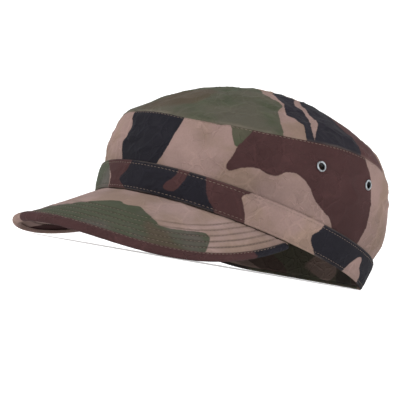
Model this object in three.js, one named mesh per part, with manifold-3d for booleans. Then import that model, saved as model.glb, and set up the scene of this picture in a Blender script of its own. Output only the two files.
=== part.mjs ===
// A soft cloth field cap: a domed oval top panel, an upright side wall, a folded band round the
// head opening and an arched, bound peak over the eyes, with two metal vent eyelets on each side.
// Lengths are millimetres and angles degrees. +Z is up, the peak points along -Y and +X is the
// wearer's left. The cap is shaped square to its rim, then leans back as it does on a table,
// where the two drooping sides of the peak and the flattened back of the band carry it.

import * as THREE from 'three';
import { mergeVertices } from 'three/addons/utils/BufferGeometryUtils.js';
import Module from 'manifold-3d';

const { degToRad, clamp, lerp } = THREE.MathUtils;

// Head opening, an ellipse measured over the band
const rimHalfWidth = 82;
const rimHalfLength = 98;
const rimLean = 12.5; // how far the rim tips up at the front when the cap rests on a table
const flattenRun = 12; // length over which the rim bends onto the table

// Cloth
const cloth = 1.5;
const gap = 0.3; // clearance between neighbouring pieces
const bandHeight = 18.8;
const hemTuck = 2; // the wall stops this far above the bottom of the band

// Crown sections, from the centre front (0) round either side to the centre back (180):
// height of the top seam over the rim, how far the seam stands outside the rim, and how far
// the wall bellies out halfway up
const crownSections = [
  { around: 0, seam: 53, lean: -3.5, belly: 1 },
  { around: 45, seam: 55.5, lean: 1, belly: 2.5 },
  { around: 90, seam: 69, lean: 3, belly: 4.5 },
  { around: 135, seam: 69, lean: -7, belly: 5.5 },
  { around: 180, seam: 60, lean: -14, belly: 5.5 },
];

// Top panel
const domeHeight = 103;
const domeCentre = 10; // how far behind the middle of the rim the dome is highest
const domeFullness = 2.12;

// Soft folds. around: degrees from the centre front, positive to the wearer's left.
// at: 0 at the rim and 1 at the top seam on the wall, 1 at the seam and 0 at the middle on the
// top. wide: degrees. long: the same units as at. out: mm, negative for a dent.
const wallFolds = [
  { around: 31, at: 0.95, wide: 5, long: 0.25, out: -1.2 },
  { around: 55, at: 0.45, wide: 14, long: 0.14, out: -1.5 },
  { around: 118, at: 0.6, wide: 9, long: 0.3, out: 1.2 },
  { around: -38, at: 0.75, wide: 10, long: 0.25, out: -1.6 },
  { around: -100, at: 0.5, wide: 12, long: 0.2, out: -1.4 },
  { around: 176, at: 0.55, wide: 10, long: 0.3, out: -1.8 },
];
const topFolds = [
  { around: -14, at: 0.86, wide: 7, long: 0.14, out: -2.4 },
  { around: 0, at: 0.84, wide: 7, long: 0.14, out: 1.2 },
  { around: 34, at: 0.92, wide: 5, long: 0.12, out: -1.2 },
  { around: 84, at: 0.72, wide: 7, long: 0.2, out: -1.6 },
  { around: 112, at: 0.86, wide: 22, long: 0.07, out: 1.4 },
  { around: -120, at: 0.8, wide: 18, long: 0.1, out: 1.6 },
  { around: 170, at: 0.7, wide: 16, long: 0.16, out: -1.8 },
];

// Peak: a curved plate of two cloth layers, whose edge is wrapped in a folded binding
const peakHalfAngle = 76; // how far round the rim it is sewn, either side of the centre front
const peakLength = 63.7;
const peakSquareness = 4; // higher makes the front edge squarer
const peakFan = 0.245; // share of the rim's angle by which the peak spreads outwards
const peakDroop = 35.6; // below the rim's plane, at the centre front
const peakSideDroop = 14.8; // more droop at the ends
const peakCloth = 1.2;
const peakInset = 1; // the peak is sewn this far inside the face of the band
const bindingWidth = 5.6;
const bindingCloth = 1;

// Vent eyelets, placed by their angle round the head and their height up the wall
const eyelets = [
  { name: 'front', around: 73.2, climb: 0.757 },
  { name: 'rear', around: 97, climb: 0.77 },
];
const eyeletHole = 2.15;
const eyeletBarrel = 2.55;
const eyeletFlange = 3.35;
const eyeletThick = 0.7;
const eyeletSeat = 0.4; // clearance between a flange and the cloth

// Facets
const crownColumns = 72;
const wallRows = 7;
const topRows = 7;
const bandRows = 2;
const peakColumns = 32;
const peakRows = 4;
const bindingColumns = 44;
const eyeletSides = 16;

const up = new THREE.Vector3(0, 0, 1);

// The value of one column of the sections at any angle, on a smooth curve through its rows
function crownValue(column, around) {
  const spacing = crownSections[1].around;
  const place = (Math.abs(THREE.MathUtils.euclideanModulo(around + 180, 360) - 180)) / spacing;
  const last = crownSections.length - 1;
  const row = Math.min(Math.floor(place), last - 1);
  const value = (index) => {
    const mirrored = index < 0 ? -index : index > last ? 2 * last - index : index;
    return crownSections[mirrored][column];
  };
  const [before, from, to, after] = [-1, 0, 1, 2].map((step) => value(row + step));
  const t = place - row;
  const slopeFrom = (to - before) / 2;
  const slopeTo = (after - from) / 2;
  return from + slopeFrom * t + (3 * (to - from) - 2 * slopeFrom - slopeTo) * t * t
    + (2 * (from - to) + slopeFrom + slopeTo) * t * t * t;
}

function foldOut(folds, around, at) {
  let out = 0;
  for (const fold of folds) {
    const turn = THREE.MathUtils.euclideanModulo(around - fold.around + 180, 360) - 180;
    out += fold.out * Math.exp(-((turn / fold.wide) ** 2) - ((at - fold.at) / fold.long) ** 2);
  }
  return out;
}

// Horizontal direction out of the head opening
function outwards(around) {
  const angle = degToRad(around);
  return new THREE.Vector3(Math.sin(angle) / rimHalfWidth, -Math.cos(angle) / rimHalfLength, 0)
    .normalize();
}

function rimPoint(around) {
  const angle = degToRad(around);
  return new THREE.Vector3(rimHalfWidth * Math.sin(angle), -rimHalfLength * Math.cos(angle), 0);
}

// ---- peak, worked out first because it sets how high the cap rests ----

// A point on the upper face of the peak. side runs from -1 to 1 round the rim, reach is mm out.
function peakPoint(side, reach) {
  const around = side * peakHalfAngle;
  const fan = degToRad(peakFan * around);
  const droop = degToRad(peakDroop + peakSideDroop * side * side);
  const along = new THREE.Vector3(
    Math.sin(fan) * Math.cos(droop), -Math.cos(fan) * Math.cos(droop), -Math.sin(droop));
  return rimPoint(around).addScaledVector(outwards(around), -peakInset)
    .addScaledVector(up, -gap).addScaledVector(along, reach);
}

function peakNormal(side, reach) {
  const small = 0.002;
  const across = peakPoint(side + small, reach).sub(peakPoint(side - small, reach));
  const along = peakPoint(side, reach + 1).sub(peakPoint(side, reach));
  const normal = new THREE.Vector3().crossVectors(along, across).normalize();
  return normal.z < 0 ? normal.negate() : normal;
}

function peakReach(side) {
  return peakLength * (1 - Math.abs(side) ** peakSquareness);
}

// How far the peak's outline has turned in, mm of reach lost for each mm along the rim
function outlineSlope(side) {
  const rimRun = degToRad(peakHalfAngle) * (rimHalfWidth + rimHalfLength) / 2;
  return -peakLength * peakSquareness * Math.abs(side) ** (peakSquareness - 1)
    * Math.sign(side) / rimRun;
}

// The point of the peak's flat pattern that lies inset mm inside the outline
function insetPattern(side, inset) {
  const rimRun = degToRad(peakHalfAngle) * (rimHalfWidth + rimHalfLength) / 2;
  const slope = outlineSlope(side);
  const length = Math.hypot(1, slope);
  return { side: side + inset * slope / length / rimRun, reach: peakReach(side) - inset / length };
}

// A point of the peak, raised over its upper face or, when negative, sunk below it
function peakLayer(side, reach, raise) {
  return peakPoint(side, reach).addScaledVector(peakNormal(side, reach), raise);
}

const peakUnderTop = -(peakCloth + gap); // upper face of the lower cloth
const peakBottom = peakUnderTop - peakCloth;

// The binding's cross-section: inset from the outline, raise over the peak's upper face
const bindingOver = gap + bindingCloth;
const bindingFold = 0.7; // the fold at the edge is rounded off by this much
const bindingSection = [
  { inset: bindingWidth, raise: bindingOver },
  { inset: bindingFold, raise: bindingOver },
  { inset: 0, raise: bindingOver - bindingFold * 1.6 },
  { inset: 0, raise: peakBottom - bindingOver + bindingFold * 1.6 },
  { inset: bindingFold, raise: peakBottom - bindingOver },
  { inset: bindingWidth, raise: peakBottom - bindingOver },
  { inset: bindingWidth, raise: peakBottom - gap },
  { inset: bindingCloth, raise: peakBottom - gap },
  { inset: bindingCloth, raise: gap },
  { inset: bindingWidth, raise: gap },
];
const bindingEnd = 0.985; // where the binding stops, beside the end of the peak
const bindingTuck = 1.4; // its legs stop this far out from the band

function bindingPoint(side, { inset, raise }) {
  const pattern = insetPattern(side, inset);
  return peakLayer(pattern.side, Math.max(pattern.reach, bindingTuck), raise);
}

// ---- how the cap rests ----

const lean = degToRad(rimLean);
const uprightHeight = (point) => point.z * Math.cos(lean) - point.y * Math.sin(lean);
let peakLowest = 0;
for (let column = 0; column <= bindingColumns; column += 1) {
  const side = lerp(-bindingEnd, bindingEnd, column / bindingColumns);
  for (const corner of bindingSection) {
    peakLowest = Math.min(peakLowest, uprightHeight(bindingPoint(side, corner)));
  }
}
const rimCentreHeight = -peakLowest; // of the rim's plane over the table
const restStart = rimCentreHeight / Math.sin(lean); // where the rim's plane would meet the table

// How far the table pushes the back of the rim up out of the rim's plane
function tableLift(y) {
  const past = y - restStart;
  const bent = past > flattenRun ? past
    : past < -flattenRun ? 0 : (past + flattenRun) ** 2 / (4 * flattenRun);
  return bent * Math.tan(lean);
}

// ---- crown ----

// A point of the crown's outline, height mm over the rim
function wallOutline(around, height) {
  const rim = rimPoint(around);
  const lift = tableLift(rim.y);
  const seam = crownValue('seam', around);
  const climb = clamp(height / (seam - lift), 0, 1);
  const out = crownValue('lean', around) * climb
    + crownValue('belly', around) * 4 * climb * (1 - climb) + foldOut(wallFolds, around, climb);
  const settle = THREE.MathUtils.smoothstep(climb, 0, 0.3); // folds die out at the stitched band
  return rim.addScaledVector(outwards(around), out * lerp(0.6, 1, settle))
    .addScaledVector(up, lift + height);
}

const wallHeight = (around) => crownValue('seam', around) - tableLift(rimPoint(around).y);

// The wall lies inside the band, and comes out to the outline above it
function wallPoint(around, height, inside) {
  const tuck = (cloth + gap) * (1 - THREE.MathUtils.smoothstep(height, bandHeight, 2 * bandHeight));
  return wallOutline(around, height).addScaledVector(outwards(around), -tuck - inside);
}

function domePoint(around, at) {
  const seam = wallOutline(around, wallHeight(around));
  const rise = 1 - at ** domeFullness;
  const point = new THREE.Vector3(
    seam.x * at, lerp(domeCentre, seam.y, at), lerp(seam.z, domeHeight, rise));
  const fade = 1 - THREE.MathUtils.smoothstep(at, 0.96, 1); // folds die out at the seam
  return point.addScaledVector(up, foldOut(topFolds, around, at) * fade);
}

function domeNormal(around, at) {
  const small = 0.5;
  const turn = domePoint(around + small, at).sub(domePoint(around - small, at));
  const inward = domePoint(around, at - 0.01).sub(domePoint(around, at));
  const normal = new THREE.Vector3().crossVectors(turn, inward).normalize();
  return normal.z < 0 ? normal.negate() : normal;
}

const mitreDrop = 0.6; // the inner edge of the top seam lies this far below the outer edge

// ---- closed bodies ----

// Joins rings of points, all of one length, into a body. The last ring either meets the first
// or, where capTriangles lists the triangles of an end, both end rings are capped with them.
function ringBody(rows, capTriangles = null) {
  const across = rows[0].length;
  const positions = rows.flat().flatMap((point) => point.toArray());
  const indices = [];
  const strips = capTriangles ? rows.length - 1 : rows.length;
  for (let row = 0; row < strips; row += 1) {
    const next = (row + 1) % rows.length;
    for (let column = 0; column < across; column += 1) {
      const beside = (column + 1) % across;
      const [a, b] = [row * across + column, row * across + beside];
      const [c, d] = [next * across + column, next * across + beside];
      indices.push(a, b, d, a, d, c);
    }
  }
  const lastStart = (rows.length - 1) * across;
  for (const [a, b, c] of capTriangles ?? []) {
    indices.push(a, c, b, lastStart + a, lastStart + b, lastStart + c);
  }
  return bodyGeometry(positions, indices);
}

// The cap of a flat strip whose ring runs out along one face and back along the other
function stripCap(across) {
  return fractions(across / 2 - 2).flatMap((_, near) => {
    const far = across - 1 - near;
    return [[near, near + 1, far - 1], [near, far - 1, far]];
  });
}

// A body's faces must point out, which its signed volume shows
function bodyGeometry(positions, indices) {
  const geometry = new THREE.BufferGeometry();
  geometry.setAttribute('position', new THREE.Float32BufferAttribute(positions, 3));
  geometry.setIndex(indices);
  let volume = 0;
  const corner = (index) => new THREE.Vector3().fromArray(positions, 3 * index);
  for (let start = 0; start < indices.length; start += 3) {
    const [a, b, c] = [0, 1, 2].map((step) => corner(indices[start + step]));
    volume += a.dot(b.cross(c));
  }
  if (volume < 0) {
    geometry.setIndex(indices.toReversed());
  }
  return geometry;
}

const fractions = (count) => Array.from({ length: count + 1 }, (_, index) => index / count);
const ringAngles = Array.from({ length: crownColumns }, (_, index) => 360 * index / crownColumns);

// The band: a ring whose underside is trued to the rim and, at the back, to the table
function bandGeometry() {
  const face = (inside, heights) => heights.map((height) => (around) => {
    const point = wallOutline(around, height).addScaledVector(outwards(around), -inside);
    return height === 0 ? point.setZ(tableLift(point.y)) : point;
  });
  const heights = fractions(bandRows).map((part) => part * bandHeight);
  const loop = [...face(0, heights), ...face(cloth, heights.toReversed())];
  return ringBody(ringAngles.map((around) => loop.map((corner) => corner(around))));
}

function wallGeometry() {
  const loopAt = (around) => {
    const top = wallHeight(around);
    const heights = fractions(wallRows).map((part) => lerp(hemTuck, top - gap, part));
    const outer = heights.map((height) => wallPoint(around, height, 0));
    const inner = heights.map((height) => wallPoint(around, height, cloth));
    inner[wallRows].addScaledVector(up, -mitreDrop);
    return [...outer, ...inner.toReversed()];
  };
  return ringBody(ringAngles.map(loopAt));
}

// The top panel: two domes joined round the seam, each closed by a fan at its middle
function topGeometry() {
  const positions = [];
  const indices = [];
  const parts = fractions(topRows).slice(1);
  const addDome = (pointAt, middle) => {
    const start = positions.length / 3;
    positions.push(...middle.toArray());
    for (const at of parts) {
      for (const around of ringAngles) {
        positions.push(...pointAt(around, at).toArray());
      }
    }
    return (row, column) => (row === 0 ? start
      : start + 1 + (row - 1) * crownColumns + column % crownColumns);
  };
  const seamInside = (around) => wallOutline(around, wallHeight(around))
    .addScaledVector(outwards(around), -cloth).addScaledVector(up, -mitreDrop);
  const innerPoint = (around, at) => (at === 1 ? seamInside(around)
    : domePoint(around, at).addScaledVector(domeNormal(around, at), -cloth));
  const middle = new THREE.Vector3(0, domeCentre, domeHeight);
  const outer = addDome(domePoint, middle);
  const inner = addDome(innerPoint, middle.clone().addScaledVector(up, -cloth));
  for (let row = 0; row < topRows; row += 1) {
    for (let column = 0; column < crownColumns; column += 1) {
      const next = column + 1;
      indices.push(outer(row, column), outer(row + 1, column), outer(row + 1, next));
      indices.push(inner(row, column), inner(row + 1, next), inner(row + 1, column));
      if (row > 0) {
        indices.push(outer(row, column), outer(row + 1, next), outer(row, next));
        indices.push(inner(row, column), inner(row, next), inner(row + 1, next));
      }
    }
  }
  for (let column = 0; column < crownColumns; column += 1) {
    const next = column + 1;
    const [a, b] = [outer(topRows, column), outer(topRows, next)];
    const [c, d] = [inner(topRows, column), inner(topRows, next)];
    indices.push(a, c, d, a, d, b);
  }
  return bodyGeometry(positions, indices);
}

// One cloth layer of the peak, between two raises over the upper face, inside the binding
function peakClothGeometry(raise) {
  const inset = bindingCloth + gap;
  const end = 0.965;
  const sections = fractions(peakColumns).map((part) => {
    const side = lerp(-end, end, part);
    const reach = peakReach(side) - inset * Math.hypot(1, outlineSlope(side));
    const reaches = fractions(peakRows).map((share) => share * reach);
    const upper = reaches.map((out) => peakLayer(side, out, raise));
    const lower = reaches.map((out) => peakLayer(side, out, raise - peakCloth));
    return [...upper, ...lower.toReversed()];
  });
  return ringBody(sections, stripCap(sections[0].length));
}

function bindingGeometry() {
  const sections = fractions(bindingColumns).map((part) => {
    const side = lerp(-bindingEnd, bindingEnd, part);
    return bindingSection.map((corner) => bindingPoint(side, corner));
  });
  const profile = bindingSection.map(({ inset, raise }) => new THREE.Vector2(inset, raise));
  return ringBody(sections, THREE.ShapeUtils.triangulateShape(profile, []));
}

// An eyelet: a short barrel turned over into a flange on both faces of the cloth
function eyeletGeometry() {
  const outer = eyeletSeat + eyeletThick;
  const inner = -cloth - eyeletSeat - eyeletThick;
  const profile = [
    [eyeletHole, outer - 0.3], [eyeletHole, inner], [eyeletFlange, inner],
    [eyeletFlange, -cloth - eyeletSeat], [eyeletBarrel, -cloth - eyeletSeat],
    [eyeletBarrel, eyeletSeat], [eyeletFlange, eyeletSeat], [eyeletFlange - 0.4, outer],
    [eyeletHole + 0.5, outer], [eyeletHole, outer - 0.3],
  ].map(([radius, height]) => new THREE.Vector2(radius, height));
  const turned = new THREE.LatheGeometry(profile, eyeletSides);
  turned.deleteAttribute('normal');
  turned.deleteAttribute('uv');
  return mergeVertices(turned, 1e-4);
}

// Stands a piece turned about Y on the wall, its Y axis along the cloth's normal
function eyeletPlace(sign, { around, climb }) {
  const angle = sign * around;
  const height = climb * wallHeight(angle);
  const across = wallPoint(angle + 3, height, 0).sub(wallPoint(angle - 3, height, 0));
  const upwards = wallPoint(angle, height + 4, 0).sub(wallPoint(angle, height - 4, 0));
  const normal = new THREE.Vector3().crossVectors(across, upwards).normalize();
  if (normal.dot(outwards(angle)) < 0) normal.negate();
  const turn = new THREE.Quaternion().setFromUnitVectors(new THREE.Vector3(0, 1, 0), normal);
  return { position: wallPoint(angle, height, 0), quaternion: turn };
}

// ---- eyelet holes, cut through the wall ----

const wasm = await Module();
wasm.setup();

function toSolid(geometry) {
  return new wasm.Manifold(new wasm.Mesh({
    numProp: 3,
    vertProperties: new Float32Array(geometry.attributes.position.array),
    triVerts: new Uint32Array(geometry.index.array),
  }));
}

function fromSolid(solid) {
  const mesh = solid.getMesh();
  const geometry = new THREE.BufferGeometry();
  geometry.setAttribute('position', new THREE.BufferAttribute(mesh.vertProperties, 3));
  geometry.setIndex(new THREE.BufferAttribute(mesh.triVerts, 1));
  return geometry;
}

function punch(geometry, places) {
  let solid = toSolid(geometry);
  for (const { position, quaternion } of places) {
    const drill = new THREE.CylinderGeometry(
      eyeletBarrel + gap, eyeletBarrel + gap, 8 * cloth, eyeletSides);
    drill.deleteAttribute('normal');
    drill.deleteAttribute('uv');
    const tool = mergeVertices(drill, 1e-4);
    tool.applyMatrix4(new THREE.Matrix4().compose(position, quaternion, new THREE.Vector3(1, 1, 1)));
    solid = solid.subtract(toSolid(tool));
  }
  return fromSolid(solid);
}

// ---- the cap ----

const sides = [{ name: 'left', sign: 1 }, { name: 'right', sign: -1 }];
const vents = sides.flatMap(({ name, sign }) => eyelets.map((eyelet) => (
  { name: `eyelet_${name}_${eyelet.name}`, ...eyeletPlace(sign, eyelet) })));

const clothFinish = (color) => new THREE.MeshStandardMaterial({ color, roughness: 0.9 });
const tan = clothFinish(0x96857a);
const brown = clothFinish(0x4a3535);
const olive = clothFinish(0x505844);
const nearBlack = clothFinish(0x2b2a2f);
const steel = new THREE.MeshStandardMaterial({ color: 0xa9adb0, roughness: 0.35, metalness: 1 });

const cap = new THREE.Group();

function addPiece(name, geometry, material) {
  const piece = new THREE.Mesh(geometry, material);
  piece.name = name;
  cap.add(piece);
  return piece;
}

addPiece('crown_top', topGeometry(), olive);
addPiece('crown_wall', punch(wallGeometry(), vents), tan);
addPiece('band', bandGeometry(), nearBlack);
addPiece('peak_top', peakClothGeometry(0), tan);
addPiece('peak_under', peakClothGeometry(peakUnderTop), tan);
addPiece('peak_binding', bindingGeometry(), brown);
for (const { name, position, quaternion } of vents) {
  const eyelet = addPiece(name, eyeletGeometry(), steel);
  eyelet.position.copy(position);
  eyelet.quaternion.copy(quaternion);
}

// Lean the cap back onto the table, then centre it over the origin
cap.rotation.x = -lean;
cap.position.z = rimCentreHeight;
const fieldCap = new THREE.Group();
fieldCap.add(cap);
const bounds = new THREE.Box3().setFromObject(fieldCap, true);
const middle = bounds.getCenter(new THREE.Vector3());
cap.position.x -= middle.x;
cap.position.y -= middle.y;

export default fieldCap;
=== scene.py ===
# A soft cloth field cap in a printed camouflage cotton, with a bound peak, a folded band and
# metal vent eyelets. Sizes are in millimetres in the cap's own frame, square to its rim, with
# the peak towards -Y. onto_table() tips a point back onto the table and gives it in metres.

import math
import random

import bmesh
import bpy
from mathutils import Matrix, Vector, kdtree, noise


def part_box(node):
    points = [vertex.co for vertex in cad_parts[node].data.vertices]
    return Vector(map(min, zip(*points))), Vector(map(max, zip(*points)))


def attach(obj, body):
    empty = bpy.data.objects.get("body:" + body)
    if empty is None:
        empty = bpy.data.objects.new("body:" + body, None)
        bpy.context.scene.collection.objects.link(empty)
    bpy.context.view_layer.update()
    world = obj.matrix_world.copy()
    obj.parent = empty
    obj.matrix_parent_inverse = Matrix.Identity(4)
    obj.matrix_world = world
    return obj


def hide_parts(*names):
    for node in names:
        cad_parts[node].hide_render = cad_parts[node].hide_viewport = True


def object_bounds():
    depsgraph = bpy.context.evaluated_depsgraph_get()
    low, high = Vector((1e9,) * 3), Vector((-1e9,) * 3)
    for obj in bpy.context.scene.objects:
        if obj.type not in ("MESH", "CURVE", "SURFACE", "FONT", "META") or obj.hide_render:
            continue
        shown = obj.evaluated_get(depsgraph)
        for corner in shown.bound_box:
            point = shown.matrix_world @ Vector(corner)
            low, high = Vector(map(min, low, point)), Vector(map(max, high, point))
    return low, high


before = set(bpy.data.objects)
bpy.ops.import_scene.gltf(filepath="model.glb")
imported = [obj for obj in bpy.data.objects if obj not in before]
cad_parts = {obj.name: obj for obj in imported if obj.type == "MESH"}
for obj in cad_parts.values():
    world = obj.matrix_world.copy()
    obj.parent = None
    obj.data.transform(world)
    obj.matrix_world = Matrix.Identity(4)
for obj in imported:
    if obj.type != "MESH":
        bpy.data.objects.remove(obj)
cad_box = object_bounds()


# ---- Crown wall ----
# The upright side of the crown: one strip of printed cotton, low in front and high behind,
# sewn to the top panel above and into the band below. It bellies out and wrinkles softly.

rim_half_width = 82
rim_half_length = 98
rim_lean = math.radians(12.5)
rim_height = 14.768  # of the middle of the rim over the table
flatten_run = 12  # how gradually the back of the rim flattens where it rests on the table
crown_radius = (rim_half_width + rim_half_length) / 2
cloth = 1.5
gap = 0.3  # between two layers of cloth
band_height = 18.8
seam_tuck = 1.1  # how far the wall's top edge turns in under the top panel
top_stitch_inset = 2.1  # of the stitches below the top seam
# seam: the wall's height. lean: how far it stands out there. belly: how far it bulges halfway.
crown_sections = [
    {"around": 0, "seam": 53, "lean": -3.5, "belly": 1},
    {"around": 45, "seam": 55.5, "lean": 1, "belly": 2.5},
    {"around": 90, "seam": 69, "lean": 3, "belly": 4.5},
    {"around": 135, "seam": 69, "lean": -7, "belly": 5.5},
    {"around": 180, "seam": 60, "lean": -14, "belly": 5.5},
]
# out: mm, negative for a dent. at: 0 at the rim, 1 at the top seam. wide: degrees.
wall_folds = [
    {"around": 31, "at": 0.95, "wide": 5, "long": 0.25, "out": -1.2},
    {"around": 55, "at": 0.45, "wide": 14, "long": 0.14, "out": -1.5},
    {"around": 118, "at": 0.6, "wide": 9, "long": 0.3, "out": 1.2},
    {"around": -38, "at": 0.75, "wide": 10, "long": 0.25, "out": -1.6},
    {"around": -100, "at": 0.5, "wide": 12, "long": 0.2, "out": -1.4},
    {"around": 176, "at": 0.55, "wide": 10, "long": 0.3, "out": -1.8},
]
# sharper creases, only in the cloth over the band
wall_creases = [
    {"around": 44, "at": 0.56, "wide": 15, "long": 0.09, "out": 1.9},
    {"around": 40, "at": 0.39, "wide": 16, "long": 0.05, "out": -1.3},
    {"around": 45, "at": 0.6, "wide": 8, "long": 0.03, "out": -0.9},
    {"around": 38, "at": 0.68, "wide": 6, "long": 0.035, "out": 0.8},
    {"around": 33, "at": 0.86, "wide": 2.2, "long": 0.12, "out": -1.4},
    {"around": 36.5, "at": 0.82, "wide": 1.6, "long": 0.13, "out": 1.0},
    {"around": 62, "at": 0.47, "wide": 12, "long": 0.05, "out": -0.6},
    {"around": 28, "at": 0.78, "wide": 3, "long": 0.16, "out": -0.45},
    {"around": 5, "at": 0.6, "wide": 12, "long": 0.05, "out": -0.4},
    {"around": 88, "at": 0.42, "wide": 10, "long": 0.06, "out": -0.5},
    {"around": 106, "at": 0.72, "wide": 6, "long": 0.12, "out": -0.5},
    {"around": -62, "at": 0.6, "wide": 10, "long": 0.05, "out": -0.6},
    {"around": 150, "at": 0.5, "wide": 12, "long": 0.06, "out": -0.7},
    {"around": -140, "at": 0.62, "wide": 9, "long": 0.07, "out": -0.6},
]


def ease(value, start, end):
    share = min(max((value - start) / (end - start), 0.0), 1.0)
    return share * share * (3 - 2 * share)


def blend(first, second, share):
    return first + (second - first) * share


def turn_between(around, other):
    return (around - other + 180) % 360 - 180


def crown_value(column, around):
    """A value of the crown's sections, run smoothly from section to section round the head."""
    place = abs(turn_between(around, 0)) / 45
    row = min(int(place), 3)
    t = place - row
    rows = [abs(row - 1), row, row + 1, 8 - (row + 2) if row + 2 > 4 else row + 2]
    before, first, second, after = [crown_sections[index][column] for index in rows]
    slope, next_slope = (second - before) / 2, (after - first) / 2
    bend = 3 * (second - first) - 2 * slope - next_slope
    twist = 2 * (first - second) + slope + next_slope
    return first + slope * t + bend * t * t + twist * t * t * t


def fold_out(folds, around, at):
    """How far a list of folds pushes the cloth out at a place, in mm."""
    total = 0.0
    for fold in folds:
        turn = turn_between(around, fold["around"]) / fold["wide"]
        if abs(turn) < 3:
            total += fold["out"] * math.exp(-turn * turn - ((at - fold["at"]) / fold["long"]) ** 2)
    return total


def outwards(around):
    """The way straight out of the rim. Round the head, 0 is the front and 90 the wearer's left."""
    angle = math.radians(around)
    return Vector((math.sin(angle) / rim_half_width, -math.cos(angle) / rim_half_length, 0)).normalized()


def rim_point(around):
    angle = math.radians(around)
    return Vector((rim_half_width * math.sin(angle), -rim_half_length * math.cos(angle), 0))


def table_lift(y):
    """How far the rim is pushed up at the back, so that it lies flat on the table."""
    past = y - rim_height / math.sin(rim_lean)
    if past < -flatten_run:
        return 0.0
    bent = past if past > flatten_run else (past + flatten_run) ** 2 / (4 * flatten_run)
    return bent * math.tan(rim_lean)


def wall_top(around):
    """The wall's height at the seam, a little lower at the left of the front."""
    dip = 1.2 * math.exp(-((turn_between(around, 20) / 12) ** 2))
    return crown_value("seam", around) - table_lift(rim_point(around).y) - dip


def crown_outline(around, height):
    """The crown's shape without the small waves of its cloth."""
    rim = rim_point(around)
    lift = table_lift(rim.y)
    climb = min(max(height / (crown_value("seam", around) - lift), 0.0), 1.0)
    out = crown_value("lean", around) * climb + crown_value("belly", around) * 4 * climb * (1 - climb)
    out += fold_out(wall_folds, around, climb)
    return rim + outwards(around) * out * blend(0.6, 1, ease(climb, 0, 0.3)) + Vector((0, 0, lift + height))


def ripple(around, height, size):
    """Uneven waves of cloth, from -1 to 1, each about as long as the size in mm."""
    spot = outwards(around) * crown_radius + Vector((0, 0, height))
    return noise.noise(spot / size)


noise.seed_set(7)  # noise_vector() differs from run to run without a seed


def crumple(spot, size):
    """Sharp little creases that come and go, from 0 on flat cloth up to 1 on a crease."""
    near = noise.voronoi(spot / size + noise.noise_vector(spot / size * 1.3) * 0.25)[0]
    sharp = max(1 - (near[1] - near[0]) * 3.2, 0)
    return sharp * sharp * ease(noise.noise(spot / size / 1.6 + Vector((20, 3, 7))), -0.2, 0.25)


def crease_spot(around, height):
    """Where crumple() is read on the crown: creases there are wider than they are high."""
    return outwards(around) * crown_radius + Vector((0, 0, height * 1.5))


def pucker(around, height, distance, depth):
    """The gathers that a row of stitches pulls into the cloth beside it."""
    wave = noise.noise(Vector((around * 0.26, 3.7, height * 0.02)))
    wave += 0.6 * noise.noise(Vector((around * 0.6, 8.1, height * 0.05)))
    return depth * wave * math.exp(-distance / 6)


def wall_face(around, height):
    """The wall's outer face: behind the band at the bottom, turned in at the seam on top."""
    top = wall_top(around)
    tuck = (cloth + gap) * (1 - ease(height, band_height, 2 * band_height))
    below = top - height
    free = ease(height, band_height, band_height + 12)
    out = -tuck - seam_tuck * ease(below, 2.4, 0.2) ** 1.5
    out -= 0.35 * math.exp(-((below - top_stitch_inset) / 0.7) ** 2)
    climb = height / top
    out += free * fold_out(wall_creases, around, climb)
    loose = free * ease(below, 0.5, 7)
    out += loose * (0.9 * ripple(around, height, 34) + 0.32 * ripple(around + 40, height, 12))
    spot = crease_spot(around, height)
    out += loose * (1.4 * crumple(spot, 44) + 0.8 * crumple(spot, 21) - 1.0 * crumple(-spot, 30))
    out += loose * 0.45 * crumple(spot + Vector((50, 0, 0)), 13)
    out += 1.3 * loose * ease(abs(turn_between(around, 35)), 40, 85)
    out += free * pucker(around, 0, below, 0.65) * ease(below, 0.4, 3)
    out += pucker(around + 60, 0, max(height - band_height, 0), 0.5) * free
    return crown_outline(around, height) + outwards(around) * out


lowest_front = min(
    p.y * math.cos(rim_lean) + p.z * math.sin(rim_lean)
    for p in [crown_outline(turn, height) for turn in range(-10, 11, 5) for height in (0, band_height)]
)
table_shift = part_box("band")[0].y * 1000 - lowest_front


def onto_table(point):
    """Where a point of the cap's own frame comes to lie on the table, in metres."""
    y = point.y * math.cos(rim_lean) + point.z * math.sin(rim_lean) + table_shift
    z = point.z * math.cos(rim_lean) - point.y * math.sin(rim_lean) + rim_height
    return Vector((point.x, y, z)) / 1000


# The print. A patch is an outline on a piece's flat cut; its corners are rounded off.
degree_run = 1.57  # mm round the crown for each degree
print_inks = ("green", "brown", "black", "tan", "wash")
print_reach = 8.0  # mm from a patch's edge, past which depths are no longer told apart


def patch(ink, *corners, scale=1.0):
    outline = [(x * scale, y) for x, y in corners]
    for _ in range(2):
        rounded = []
        for (x0, y0), (x1, y1) in zip(outline, outline[1:] + outline[:1]):
            rounded.append((blend(x0, x1, 0.25), blend(y0, y1, 0.25)))
            rounded.append((blend(x0, x1, 0.75), blend(y0, y1, 0.75)))
        outline = rounded
    low = (min(x for x, y in outline), min(y for x, y in outline))
    high = (max(x for x, y in outline), max(y for x, y in outline))
    return {"ink": ink, "outline": outline, "low": low, "high": high}


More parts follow.
